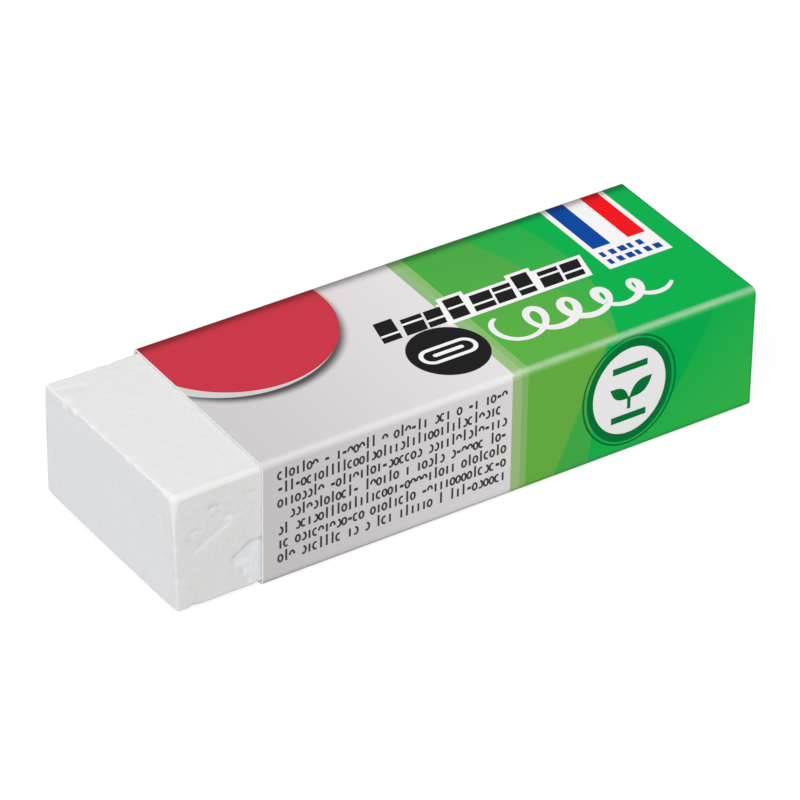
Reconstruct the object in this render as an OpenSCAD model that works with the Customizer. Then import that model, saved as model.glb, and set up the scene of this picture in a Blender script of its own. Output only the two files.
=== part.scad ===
// Vinyl eraser in a printed card sleeve.
// A plain slab of soft vinyl sits in a sleeve folded from one card blank.
// The sleeve leaves one end of the slab bare and is flush with it at the other.
// Length runs along X, with the bare end at -X. The sleeve rests on z = 0.
// The visible text side faces -Y and the lapped and glued side faces +Y.

/* [Vinyl slab] */
// Length of the vinyl slab
slab_len = 65; // [50:0.5:80]
// Rounding of the four long edges of the slab
slab_edge_r = 0.6; // [0.4:0.05:1.5]
// Rounding of the edges around each end of the slab
slab_end_r = 0.4; // [0.2:0.05:1.2]
// Extra rounding of the back corner that has rubbed away
worn_corner_r = 1.1; // [0.6:0.1:2]
// Depth of the fingernail dents in the bare end
dent_depth = 0.15; // [0.05:0.01:0.25]

/* [Card sleeve] */
// Outer width of the sleeve
sleeve_w = 22.9; // [18:0.1:30]
// Outer height of the sleeve
sleeve_h = 13.5; // [11:0.1:18]
// Length of slab left bare in front of the sleeve
bare_len = 9.6; // [4:0.2:20]
// Thickness of the card
card_t = 0.25; // [0.2:0.05:0.5]
// Gap between the card and the slab
card_gap = 0.05; // [0.03:0.01:0.2]
// Outer radius of the folds in the card
fold_r = 0.65; // [0.55:0.05:1.2]
// Height of the glue flap inside the back panel
flap_h = 9.5; // [5:0.25:10]
// Height of the back panel's free edge above the table
lap_rise = 0.85; // [0.7:0.05:3]

/* [Print] */
// Length of the pale zone, from the sleeve's near edge
pale_len = 27.7; // [26:0.1:30]
// Width of the light stripe between the pale and green zones
stripe_w = 1.6; // [0.8:0.1:2.5]
// Radius of the red disc
disc_r = 10.6; // [7:0.1:10.8]
// Radius of the black dot
dot_r = 4; // [3.4:0.1:4.2]
// Half width of the round badge
badge_rx = 5.3; // [4.5:0.1:5.5]
// Half height of the round badge
badge_rz = 5.9; // [5:0.1:6]
// Distance between the lines of small print
row_pitch = 1.5; // [1.2:0.05:1.6]
// Number of lines in the block of small print
row_count = 7; // [4:1:7]

/* [Hidden] */
$fn = 64;
slop = 1;
fold_in_r = fold_r - card_t;
print_depth = min(0.8 * card_t, fold_r * (1 - sqrt(0.5)));
rim_w = 0.065 * disc_r;
outline_w = 0.02 * sleeve_w;
ring_w = 0.17 * badge_rx;
sleeve_len = slab_len - bare_len;
near_x = bare_len - slab_len / 2;
front_y = -sleeve_w / 2;
slab_w = sleeve_w - 3 * card_t - 2 * card_gap;
slab_t = sleeve_h - 2 * card_t - 2 * card_gap;
slab_y = front_y + card_t + card_gap;
slab_z = card_t + card_gap;
pale = [0.85, 0.84, 0.84];
stripe_green = [0.62, 0.8, 0.52];
lime = [0.33, 0.67, 0.25];
leaf = [0.18, 0.68, 0.29];
emerald = [0, 0.67, 0.31];
forest = [0, 0.45, 0.24];
red = [0.79, 0.22, 0.27];
bright_red = [0.91, 0.12, 0.15];
blue = [0.04, 0.29, 0.63];
ink = [0.13, 0.12, 0.13];
paper = [0.96, 0.96, 0.96];

// Rectangle with true round corners, its lower left corner at the origin.
module rounded(w, h, r) {
    translate([r, 0]) square([w - 2 * r, h]);
    translate([0, r]) square([w, h - 2 * r]);
    for (x = [r, w - r], y = [r, h - r])
        translate([x, y]) circle(r);
}

// Ellipse drawn as a fine polygon.
module oval(rx, ry) {
    polygon([for (a = [0 : 10 : 350]) [rx * cos(a), ry * sin(a)]]);
}

// Parallelogram that leans like an italic stroke.
module leaning_bar(w, h, lean) {
    polygon([[0, 0], [w, 0], [w + lean, h], [lean, h]]);
}

// Leaf outline: where two equal circles overlap, pointing along +X from the origin.
module leaf_shape(len, r) {
    drop = sqrt(r * r - len * len / 4);
    intersection() {
        translate([len / 2, drop]) circle(r);
        translate([len / 2, -drop]) circle(r);
    }
}

// Slab of soft vinyl

// The slab's cross section, the same from end to end so that the sleeve slides over it.
module slab_section() {
    rounded(slab_w, slab_t, slab_edge_r);
}

// The slab seen from above, with the rubbed back corner at the bare end.
module slab_plan() {
    difference() {
        rounded(slab_len, slab_w, slab_end_r);
        translate([0, slab_w - worn_corner_r])
            difference() {
                translate([-slop, 0]) square([worn_corner_r + slop, worn_corner_r + slop]);
                translate([worn_corner_r, 0]) circle(worn_corner_r);
            }
    }
}

// The slab seen from the front, with rounded upper and lower end edges.
module slab_side() {
    rounded(slab_len, slab_t, slab_end_r);
}

// Shallow crescents left by a fingernail in the front side of the bare end. Each is
// given by its centre, as parts of the bare length and the slab's thickness, by its
// radius as a part of that thickness, and by the angle that it starts at.
module nail_dents() {
    groove_r = 2 * dent_depth;
    for (d = [[0.24, 0.67, 0.1, 20], [0.38, 0.48, 0.155, 200], [0.27, 0.36, 0.13, 30]])
        translate([d[0] * bare_len - slab_len / 2, slab_y - groove_r + dent_depth, slab_z + d[1] * slab_t])
            rotate([90, 0, 0])
                rotate([0, 0, d[3]])
                    rotate_extrude(angle = 85) translate([d[2] * slab_t, 0]) circle(groove_r, $fn = 24);
}

// Wide shallow scoop rubbed into the front side beside the sleeve.
module rubbed_scoop() {
    scoop_r = 0.9 * slab_t;
    translate([near_x - 0.2 * bare_len, slab_y + dent_depth - scoop_r, slab_z + 0.23 * slab_t])
        sphere(scoop_r, $fn = 96);
}

module eraser_block() {
    color(paper)
        difference() {
            intersection() {
                translate([-slab_len / 2, slab_y, slab_z])
                    rotate([90, 0, 90]) linear_extrude(slab_len) slab_section();
                translate([-slab_len / 2, slab_y, slab_z])
                    linear_extrude(slab_t) slab_plan();
                translate([-slab_len / 2, slab_y + slab_w, slab_z])
                    rotate([90, 0, 0]) linear_extrude(slab_w) slab_side();
            }
            nail_dents();
            rubbed_scoop();
        }
}

// Sleeve folded from one card blank

// Section of the folded blank. The glue flap rises inside the back panel from the
// bottom fold, and the back panel laps over it down to its free edge.
module card_section() {
    difference() {
        rounded(sleeve_w, sleeve_h, fold_r);
        translate([card_t, card_t])
            rounded(sleeve_w - 2 * card_t, sleeve_h - 2 * card_t, fold_in_r);
        translate([sleeve_w / 2, -slop]) square([sleeve_w, lap_rise + slop]);
    }
    intersection() {
        difference() {
            rounded(sleeve_w - card_t, sleeve_h, fold_r);
            translate([card_t, card_t])
                rounded(sleeve_w - 3 * card_t, sleeve_h - 2 * card_t, fold_in_r);
        }
        translate([sleeve_w / 2, -slop]) square([sleeve_w, flap_h + slop]);
    }
}

// A length of the folded card, measured from the sleeve's near edge.
module card_run(from, to) {
    translate([near_x + from, front_y, 0])
        rotate([90, 0, 90]) linear_extrude(to - from) card_section();
}

// Printed fields: shapes given flat on a panel and sunk part of the way into the card,
// as far as the middle of a fold, so that the two panels' colours meet there. Each is
// placed by parts of the panel's own length and width, so that it follows its size.

// Carries a flat print shape down into the top panel: x from the near edge, y from the front.
module through_top() {
    translate([near_x, front_y, sleeve_h - print_depth]) linear_extrude(print_depth + slop) children();
}

// Carries one into the front panel: x from the near edge, y up from the table.
module through_front() {
    translate([near_x, front_y + print_depth, 0])
        rotate([90, 0, 0]) linear_extrude(print_depth + slop) children();
}

// The card of the top panel that lies under a print shape.
module on_top() {
    intersection() {
        card_run(0, sleeve_len);
        through_top() children();
    }
}

// The card of the front panel that lies under a print shape.
module on_front() {
    intersection() {
        card_run(0, sleeve_len);
        through_front() children();
    }
}

// Moves a shape to a place given as parts of the top panel's length and width.
module place_top(x, y) {
    translate([x * sleeve_len, y * sleeve_w]) children();
}

// The same on the front panel, with y as a part of the sleeve's height.
module place_front(x, y) {
    translate([x * sleeve_len, y * sleeve_h]) children();
}

// Red disc cut off by the near edge and the back fold; grow gives its pale rim.
module disc(grow) {
    place_top(0.162, 0.92) translate([-grow / 2, -grow / 2]) circle(disc_r + grow);
}

// Row of leaning black bars in place of a heading; grow makes the outline round them.
module heading(grow) {
    bar_pitch = 0.046 * sleeve_len;
    bar_w = 0.68 * bar_pitch;
    low_h = 0.115 * sleeve_w;
    lean = 0.035 * sleeve_w;
    place_top(0.38, 0.476) {
        for (i = [0 : 8])
            translate([bar_pitch * i - grow, -grow])
                leaning_bar(bar_w * (1 + 0.23 * sin(110 * i)) + 2 * grow,
                    low_h * (i % 3 == 0 ? 1.27 : 1) + 2 * grow, lean);
        if (grow > 0)
            translate([0, -grow]) leaning_bar(8 * bar_pitch + bar_w, low_h + 2 * grow, lean);
    }
}

module dot() {
    place_top(0.448, 0.3) circle(dot_r);
}

// Flat ring with a bar inside it, in place of the number on the dot.
module dot_mark() {
    mark_w = 1.55 * dot_r;
    mark_h = 0.65 * dot_r;
    line = 0.1 * dot_r;
    place_top(0.448, 0.3) translate([-mark_w / 2, -mark_h / 2]) {
        difference() {
            rounded(mark_w, mark_h, 0.46 * mark_h);
            translate([line, line])
                rounded(mark_w - 2 * line, mark_h - 2 * line, 0.46 * mark_h - line);
        }
        translate([0.25 * mark_w, mark_h / 2 - line / 2]) square([0.5 * mark_w, line]);
    }
}

// White scribble that snakes along the green zone, its swings getting shorter.
module scribble() {
    turn_r = 0.028 * sleeve_len;
    stroke = 0.55 * turn_r;
    reach = 3 * turn_r;
    for (i = [0 : 5]) {
        swing = turn_r * (1 - 0.13 * i);
        side = i % 2 == 0 ? 1 : -1;
        place_top(0.576, 0.27) translate([2 * turn_r * i, 0]) {
            translate([0, side * swing])
                difference() {
                    circle(turn_r + stroke / 2);
                    circle(turn_r - stroke / 2);
                    translate([-reach, side > 0 ? -reach : 0]) square([2 * reach, reach]);
                }
            translate([turn_r - stroke / 2, -swing]) square([stroke, 2 * swing]);
        }
    }
}

// White label whose blue and red bands run off over the back fold.
module label() {
    place_top(0.825, 0.45) square([0.13 * sleeve_len, sleeve_w]);
}

module blue_band() {
    place_top(0.834, 0.615) square([0.038 * sleeve_len, sleeve_w]);
}

module red_band() {
    place_top(0.909, 0.615) square([0.038 * sleeve_len, sleeve_w]);
}

// Two plain bars in place of the label's lettering.
module label_bars() {
    for (y = [0.478, 0.54])
        place_top(0.832, y) square([0.115 * sleeve_len, 0.035 * sleeve_w]);
}

module top_marks() {
    disc(rim_w);
    heading(outline_w);
    dot();
    scribble();
    label();
}

// Rows of short dashes in place of the small print.
module small_print() {
    dash_h = row_pitch / 3;
    dash_pitch = 0.152 * pale_len;
    for (row = [0 : row_count - 1], i = [0 : 5])
        place_front(0, 0.843)
            translate([0.068 * pale_len + dash_pitch * i, -row_pitch * row - dash_h / 2])
                square([dash_pitch * (0.76 + 0.18 * sin(137 * (6 * row + i))), dash_h]);
}

module badge(grow) {
    place_front(0.738, 0.526) oval(badge_rx + grow, badge_rz + grow);
}

// Sprout with two leaves between two plain bars.
module badge_mark() {
    leaf_len = 0.6 * badge_rx;
    bar_w = 0.75 * badge_rx;
    stem_w = 0.075 * badge_rx;
    place_front(0.738, 0.526) {
        for (a = [35, 145])
            translate([0, -0.17 * badge_rx]) rotate(a) leaf_shape(leaf_len, 0.66 * leaf_len);
        translate([-stem_w / 2, -0.38 * badge_rx]) square([stem_w, 0.3 * badge_rx]);
        for (z = [0.42, -0.58])
            translate([-bar_w / 2, z * badge_rx]) square([bar_w, 0.13 * badge_rx]);
    }
}

module front_marks() {
    small_print();
    badge(0);
}

// Green zone of a panel.
module green_zone() {
    translate([pale_len + stripe_w, -slop]) square([sleeve_len, sleeve_w + 2 * slop]);
}

// Yellower green near the stripe, bounded by a wide arc on each panel.
module lime_top() {
    intersection() {
        green_zone();
        place_top(0.036, 0.546) circle(1.537 * sleeve_w, $fn = 180);
    }
}

module lime_front() {
    intersection() {
        green_zone();
        place_front(0.253, 1.333) circle(1.07 * sleeve_w, $fn = 180);
    }
}

// Middle green beyond it on top, and at the far end of the front.
module leaf_top() {
    intersection() {
        green_zone();
        difference() {
            place_top(0.108, 0.59) circle(1.594 * sleeve_w, $fn = 180);
            lime_top();
        }
    }
}

module leaf_front() {
    intersection() {
        green_zone();
        difference() {
            place_front(1.3, 1.037) circle(1.223 * sleeve_w, $fn = 180);
            lime_front();
        }
    }
}

// Marks of both panels, each cut clear of what is printed over it.
module disc_rim() {
    difference() {
        disc(rim_w);
        disc(0);
    }
}

module heading_outline() {
    difference() {
        heading(outline_w);
        heading(0);
        dot();
    }
}

module dot_ground() {
    difference() {
        dot();
        heading(0);
        dot_mark();
    }
}

module open_scribble() {
    difference() {
        scribble();
        dot();
    }
}

module blue_marks() {
    blue_band();
    label_bars();
}

module label_ground() {
    difference() {
        label();
        blue_band();
        red_band();
        label_bars();
    }
}

module badge_ring() {
    difference() {
        badge(0);
        badge(-ring_w);
    }
}

module badge_ground() {
    difference() {
        badge(-ring_w);
        badge_mark();
    }
}

module lime_top_ground() {
    difference() {
        lime_top();
        top_marks();
    }
}

module leaf_top_ground() {
    difference() {
        leaf_top();
        top_marks();
    }
}

module lime_front_ground() {
    difference() {
        lime_front();
        front_marks();
    }
}

module leaf_front_ground() {
    difference() {
        leaf_front();
        front_marks();
    }
}

// All that is printed over the base colours of a panel.
module top_print() {
    top_marks();
    lime_top();
    leaf_top();
}

module front_print() {
    front_marks();
    lime_front();
    leaf_front();
}

// Base colours of the three zones, with room left for all that is printed on them.
module zones() {
    difference() {
        union() {
            color(pale) card_run(0, pale_len);
            color(stripe_green) card_run(pale_len, pale_len + stripe_w);
            color(emerald) card_run(pale_len + stripe_w, sleeve_len);
        }
        through_top() top_print();
        through_front() front_print();
    }
}

module card_sleeve() {
    zones();
    // red disc with its pale rim
    color(red) on_top() disc(0);
    color(paper) on_top() disc_rim();
    // heading, dot and scribble
    color(ink) on_top() heading(0);
    color(paper) on_top() heading_outline();
    color(ink) on_top() dot_ground();
    color(paper) on_top() dot_mark();
    color(paper) on_top() open_scribble();
    // label with its two bands
    color(blue) on_top() blue_marks();
    color(bright_red) on_top() red_band();
    color(paper) on_top() label_ground();
    // tones of green on both panels
    color(lime) on_top() lime_top_ground();
    color(leaf) on_top() leaf_top_ground();
    color(lime) on_front() lime_front_ground();
    color(leaf) on_front() leaf_front_ground();
    // small print and badge on the front panel
    color(ink) on_front() small_print();
    color(forest) on_front() badge_ring();
    color(forest) on_front() badge_mark();
    color(paper) on_front() badge_ground();
}

eraser_block();
card_sleeve();
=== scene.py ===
# %% [markdown]
# # A vinyl eraser in a printed card sleeve
# Two things meet in this object: a soft white slab that is cut from a moulded bar, and
# a sleeve that is folded from one flat piece of printed card. The lesson follows that
# order. The slab is a rounded box with small dents pressed into it. The sleeve starts
# as a flat sheet with its print already cut into the mesh, and is then folded round the
# slab, so that every colour has a sharp edge and runs on over the folds.

# %% Load the fixed frame
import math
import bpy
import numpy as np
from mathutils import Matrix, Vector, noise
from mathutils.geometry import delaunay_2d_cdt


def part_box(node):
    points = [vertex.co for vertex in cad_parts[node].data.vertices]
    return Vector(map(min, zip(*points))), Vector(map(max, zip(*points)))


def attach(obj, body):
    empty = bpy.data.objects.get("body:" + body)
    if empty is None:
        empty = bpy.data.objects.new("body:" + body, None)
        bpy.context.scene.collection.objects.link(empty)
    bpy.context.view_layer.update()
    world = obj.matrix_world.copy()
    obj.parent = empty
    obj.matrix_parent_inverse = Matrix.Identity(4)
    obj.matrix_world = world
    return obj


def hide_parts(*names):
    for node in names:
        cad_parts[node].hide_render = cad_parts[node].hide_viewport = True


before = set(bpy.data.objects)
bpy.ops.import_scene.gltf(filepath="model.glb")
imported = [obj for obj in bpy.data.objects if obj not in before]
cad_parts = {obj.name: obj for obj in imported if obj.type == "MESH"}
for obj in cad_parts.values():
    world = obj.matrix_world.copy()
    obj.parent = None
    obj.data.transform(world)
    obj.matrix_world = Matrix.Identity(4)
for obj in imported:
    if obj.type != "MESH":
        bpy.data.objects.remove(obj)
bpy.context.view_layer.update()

# %% [markdown]
# ## Units, colours and helpers for nodes
# All positions below are given in millimetres and turned to metres when a mesh is made.
# Colours are written as sRGB hex values, the way a printer or a paint card gives them.
# Blender computes light with linear values, so one function turns them over. The other
# functions add a node, a sum, a mix of colours, a noise or a range, so that a material
# reads as a few lines. A node given to another stands for its first output.

MM = 0.001


def linear(hex_value):
    """A hex colour as linear red, green, blue and full alpha."""
    parts = [int(hex_value[i:i + 2], 16) / 255 for i in (1, 3, 5)]
    return [c / 12.92 if c <= 0.04045 else ((c + 0.055) / 1.055) ** 2.4 for c in parts] + [1.0]

# %% Helpers for nodes


def feed(tree, socket, value):
    """Links an input to a node or one of its outputs, or gives it a number or a colour."""
    if isinstance(value, bpy.types.Node):
        value = value.outputs[0]
    if isinstance(value, bpy.types.NodeSocket):
        tree.links.new(value, socket)
    else:
        socket.default_value = linear(value) if isinstance(value, str) else value


def add_node(tree, kind, links=None, settings=None, **values):
    """Adds a node, gives it its settings and input values, and links its inputs."""
    node = tree.nodes.new(kind)
    for name, value in (settings or {}).items():
        setattr(node, name, value)
    for name, value in values.items():
        key = int(name[1:]) if name[0] == "i" and name[1:].isdigit() else name.replace("_", " ")
        feed(tree, node.inputs[key], value)
    for key, source in (links or {}).items():
        feed(tree, node.inputs[key], source)
    return node


def math_node(tree, operation, *sides):
    """One sum in a node tree. Each side is a node, a socket or a number."""
    node = add_node(tree, "ShaderNodeMath", settings={"operation": operation})
    for number, side in enumerate(sides):
        feed(tree, node.inputs[number], side)
    return node


def mix_colours(tree, part, first, last, blend="MIX"):
    """Two colours mixed by a part from 0 to 1. Each of the three is fed in."""
    node = add_node(tree, "ShaderNodeMix", settings={"data_type": "RGBA", "blend_type": blend})
    for number, value in zip((0, 6, 7), (part, first, last)):
        feed(tree, node.inputs[number], value)
    return node.outputs[2]


def noise_node(tree, place, scale, detail, roughness=0.5):
    """The grey value of procedural noise at a place."""
    return add_node(tree, "ShaderNodeTexNoise", {"Vector": place}, Scale=scale, Detail=detail,
                    Roughness=roughness).outputs["Fac"]


def new_material(name):
    """An empty node material with its output node."""
    material = bpy.data.materials.new(name)
    material.use_nodes = True
    material.node_tree.nodes.clear()
    return material, material.node_tree, material.node_tree.nodes.new("ShaderNodeOutputMaterial")


def map_range(tree, value, low, high, to_low, to_high, smooth=False):
    """A value turned over from one range to another, and kept inside it."""
    node = add_node(tree, "ShaderNodeMapRange", {"Value": value}, i1=low, i2=high,
                    To_Min=to_low, To_Max=to_high)
    node.interpolation_type = "SMOOTHSTEP" if smooth else "LINEAR"
    return node


def coat(tree, out, links, **values):
    """Ends a material with its surface."""
    feed(tree, out.inputs[0], add_node(tree, "ShaderNodeBsdfPrincipled", links, IOR=1.5, **values))


def object_from(name, vertices, faces):
    """A mesh object at the origin, from corners in millimetres."""
    mesh = bpy.data.meshes.new(name)
    mesh.from_pydata([tuple(float(c) * MM for c in v) for v in vertices], [], faces)
    made = bpy.data.objects.new(name, mesh)
    bpy.context.scene.collection.objects.link(made)
    return made

# %% [markdown]
# ## The camera
# The camera was worked out from the photograph: the straight edges of the sleeve meet
# so slowly that it must stand half a metre away behind a long lens. It looks down at
# 34 degrees, from 33 degrees to the left of the front, and leans by under one degree.

# %% Camera
lens_px, photo_px, sensor_mm = 5321.1, 800, 36
camera_at = (-229.625, -346.589, 290.148)
azimuth, elevation, roll = (math.radians(a) for a in (-33.46, 34.37, 0.78))
back = Vector((math.sin(azimuth) * math.cos(elevation),
               -math.cos(azimuth) * math.cos(elevation), math.sin(elevation)))
level = Vector((math.cos(azimuth), math.sin(azimuth), 0))
right = level * math.cos(roll) + back.cross(level) * math.sin(roll)
up = back.cross(right)
camera = bpy.data.objects.new("camera", bpy.data.cameras.new("camera"))
bpy.context.scene.collection.objects.link(camera)
camera.data.sensor_width = sensor_mm
camera.data.lens = lens_px * sensor_mm / photo_px
camera.data.clip_start, camera.data.clip_end = 0.01, 20
turn = Matrix((right, up, back)).transposed().to_4x4()
camera.matrix_world = Matrix.Translation(Vector(camera_at) * MM) @ turn
bpy.context.scene.camera = camera
print("camera lens, mm:", round(camera.data.lens, 1))

# %% [markdown]
# ## Floor, room and lamp
# The object is pale, so the room has to be even and not too bright: white vinyl should
# come out just under white. The floor is pale grey paper that throws a soft light up at
# the object, but a glow makes it white to the camera and to reflections. The room does
# the same. It lies a hair below the sleeve, so that the two never share a plane. One
# large soft lamp stands high at the camera's left. It makes the top the lightest face
# and the front the darkest.

# %% Floor
scene = bpy.context.scene
scene.view_settings.view_transform = "Standard"
floor_z, floor_half = -0.03, 2500
floor_corners = [(x * floor_half, y * floor_half, floor_z) for x, y in ((-1, -1), (1, -1), (1, 1), (-1, 1))]
floor = object_from("floor", floor_corners, [(0, 1, 2, 3)])
paper_floor, tree, out = new_material("white paper backdrop")
rays = add_node(tree, "ShaderNodeLightPath").outputs
looked_at = math_node(tree, "MAXIMUM", rays["Is Camera Ray"], rays["Is Glossy Ray"])
glow_part = math_node(tree, "MULTIPLY", looked_at, 0.55)
matt = add_node(tree, "ShaderNodeBsdfDiffuse", Color="#C6C6C6")
glow = add_node(tree, "ShaderNodeEmission", Color="#FFFFFF", Strength=1.46)
both = add_node(tree, "ShaderNodeMixShader", {0: glow_part, 1: matt, 2: glow})
feed(tree, out.inputs[0], both)
floor.data.materials.append(paper_floor)
print("floor, mm:", 2 * floor_half, "square, at height", floor_z)

# %% Room
room = bpy.data.worlds.new("room")
room.use_nodes = True
scene.world = room
tree = room.node_tree
tree.nodes.clear()
rays = add_node(tree, "ShaderNodeLightPath").outputs
direct = math_node(tree, "MAXIMUM", rays["Is Camera Ray"], rays["Is Transmission Ray"])
seen = math_node(tree, "MAXIMUM", direct, rays["Is Glossy Ray"])
plain = add_node(tree, "ShaderNodeBackground", Color="#FFFFFF", Strength=0.55)
white = add_node(tree, "ShaderNodeBackground", Color="#FFFFFF", Strength=1.0)
mixed = add_node(tree, "ShaderNodeMixShader", {0: seen, 1: plain, 2: white})
add_node(tree, "ShaderNodeOutputWorld", {"Surface": mixed})
print("nodes in the room:", len(tree.nodes))

# %% Lamp
lamp_at, aimed_at = (-470, -420, 640), (0, 0, 6)
light = bpy.data.lights.new("key softbox", "AREA")
light.size = 0.55
light.energy = 5.05
lamp = bpy.data.objects.new("key softbox", light)
scene.collection.objects.link(lamp)
lamp.location = Vector(lamp_at) * MM
lamp.rotation_euler = (Vector(aimed_at) * MM - lamp.location).to_track_quat("-Z", "Y").to_euler()
print("lamp:", lamp.name, round(light.energy, 2), "watts at", lamp_at)

# %% [markdown]
# ## Sizes
# The two pieces keep the sizes of the fixed frame, so they are read from it. In the
# photograph the far end is a fifth of a millimetre shorter and about a quarter narrower,
# so it is trimmed and its back drawn in by that. What the boxes can't tell is given here
# too: the thickness of the card, the radius of its folds, the height of the glue flap
# and the height of the back panel's free edge.

# %% Sizes
slab_lo, slab_hi = (np.array(c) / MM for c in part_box("eraser_block"))
card_lo, card_hi = (np.array(c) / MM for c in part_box("card_sleeve"))
far_trim, far_narrow = 0.2, 0.23
slab_hi[0] -= far_trim
card_hi[0] -= far_trim
sleeve_len, sleeve_w, sleeve_h = card_hi - card_lo
card_t, fold_r = 0.25, 0.65
flap_h, lap_rise = 9.5, 0.85
print("slab, mm:", (slab_hi - slab_lo).round(2), " sleeve, mm:", (card_hi - card_lo).round(2))


def drawn_in(x, y):
    """How far the back is drawn in towards the narrower far end."""
    return far_narrow * max(0.0, (x - card_lo[0]) / sleeve_len) * (y - card_lo[1]) / sleeve_w

# %% [markdown]
# ## The vinyl slab
# Real slabs are cut from a bar and tumbled a little, so that edges are soft but not even.
# A cube with a Bevel modifier would be too regular. Here a fine grid covers a box, and
# each point is pulled onto a rounding whose radius changes from place to place: wide
# along the upper front edge and at the thumbed front corner, tight at the back, and
# below just wide enough to clear the card's folds. The end was cut a little out of
# square, and its lower edge has rubbed away towards the back.

# %% Rounding of the slab's edges


def bell(distance, width):
    """A smooth bump that is 1 at no distance and fades out past the width."""
    return math.exp(-(distance / width) ** 2)


def edge_radius(p):
    """How round the slab is near a point on its box, in millimetres."""
    near_front, near_back = p[1] - slab_lo[1], slab_hi[1] - p[1]
    near_top, near_end = slab_hi[2] - p[2], p[0] - slab_lo[0]
    near_bottom, near_side = p[2] - slab_lo[2], min(near_front, near_back)
    radius = 0.14 + 0.04 * noise.noise(Vector(p) * 0.5)
    radius += 0.46 * bell(near_front, 2.0) * bell(near_top, 2.0)
    radius += 0.08 * bell(near_front, 1.5) * bell(near_end, 1.5) * bell(near_top, 7.0)
    radius += 0.04 * bell(near_top, 1.5) * bell(near_end, 1.5)
    radius += 0.15 * bell(near_front, 2.0) * bell(near_top, 2.0) * bell(near_end, 1.5)
    radius += 0.15 * bell(near_back, 1.5) * bell(near_top, 1.5)
    return radius + 0.16 * bell(near_side, 1.0) * bell(near_bottom, 1.0)


skew_foot, skew_rise, skew_back, skew_reach = 0.60, 0.40, 0.33, 9
rub_depth, rub_reach = 0.85, 5


def end_skew(p):
    """How far a point moves along x, because the end was cut out of square and leans."""
    across, upward = (p[1] - slab_lo[1]) / slab_size[1], (p[2] - slab_lo[2]) / slab_size[2]
    at_front = skew_foot - skew_rise * upward
    fade = max(0.0, 1 - (p[0] - slab_lo[0]) / skew_reach)
    return (at_front * (1 - across) - skew_back * across) * fade


def rubbed_lift(p):
    """How far the underside is rubbed away at the bare end, more towards the back."""
    across = (p[1] - slab_lo[1]) / slab_size[1]
    return rub_depth * across ** 1.3 * max(0.0, 1 - (p[0] - slab_lo[0]) / rub_reach) ** 2

# %% Grid over the slab


def steps(spans):
    """Grid positions from 0 on, from (end of span, spacing) pairs."""
    made = [0.0]
    for stop_at, spacing in spans:
        count = max(1, round((stop_at - made[-1]) / spacing))
        made += list(np.linspace(made[-1], stop_at, count + 1)[1:])
    return np.array(made)


slab_size = slab_hi - slab_lo
bare_end = 10.5
grid_x = slab_lo[0] + steps([(1.2, 0.08), (bare_end, 0.17), (64.0, 1.6), (65.0, 0.12)])
grid_y = slab_lo[1] + steps([(1.3, 0.08), (20.9, 0.22), (slab_size[1], 0.08)])
grid_z = slab_lo[2] + steps([(0.8, 0.08), (11.5, 0.18), (slab_size[2], 0.08)])
print("slab grid:", len(grid_x), len(grid_y), len(grid_z))

# %% [markdown]
# Fingernails and table edges leave marks in soft vinyl: short curved dents with a
# pressed shelf beside them, a shallow scoop with a crisp outline, and nicks in the edge.
# Each mark is a line on one face. Everything goes inwards, so that the sleeve still
# slides over the bare end.

# %% Marks pressed into the slab
# A line on the front is given in x and z, on the top in x and y, on the end in y and z.
dents = [
    # face, line on the face, depth, half width, depth of the shelf beside it, shelf width
    ("front", [(-28.7, 10.4), (-28.2, 10.8), (-27.6, 10.6), (-27.3, 9.9), (-26.8, 9.3), (-26.0, 8.9)],
     0.10, 0.24, 0.07, 0.7),
    ("front", [(-26.0, 8.4), (-27.4, 7.8), (-28.5, 7.2), (-29.6, 6.6), (-30.6, 6.2)], 0.01, 0.3, 0.08, 1.0),
    ("front", [(-30.9, 8.5), (-30.1, 8.8), (-29.3, 8.5)], 0.06, 0.2, 0.03, 0.7),
    ("front", [(-31.3, 8.1), (-30.7, 7.6), (-30.2, 7.0)], 0.04, 0.2, 0.03, 0.6),
    ("front", [(-28.0, 9.8), (-27.4, 9.2)], 0.05, 0.16, 0.02, 0.5),
    ("front", [(-24.9, 11.2), (-24.2, 10.8), (-23.4, 10.9)], 0.03, 0.3, 0.02, 0.6),
    ("top", [(-32.3, 9.6), (-31.2, 9.4), (-29.2, 9.0)], 0.06, 0.2, 0.09, 0.9),
    ("top", [(-28.0, -2.0), (-25.5, -1.2)], 0.02, 0.2, 0.01, 0.6),
    ("top", [(-30.5, -6.5), (-28.9, -6.9), (-27.6, -6.4)], 0.02, 0.25, 0.015, 0.8),
    ("end", [(10.2, 11.4), (8.2, 11.8), (5.9, 12.2), (3.5, 12.7)], 0.02, 0.3, 0.02, 0.5),
    ("end", [(10.2, 7.4), (9.8, 5.6), (10.0, 4.1)], 0.02, 0.3, 0.01, 0.6),
    ("end", [(5.2, 9.4), (4.6, 8.3), (3.4, 7.9)], 0.01, 0.4, 0.005, 0.9),
    ("end", [(-8.6, 10.2), (-9.4, 9.4), (-9.6, 8.3)], 0.03, 0.3, 0.02, 0.6),
]
scoop = [(-21.5, 5.7), (-22.4, 5.8), (-23.2, 5.5), (-24.0, 5.6), (-24.9, 5.1), (-25.7, 4.6), (-26.4, 4.1),
         (-26.1, 3.4), (-25.4, 2.9), (-25.0, 1.5), (-24.6, 0.7), (-21.5, 0.5)]
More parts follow.
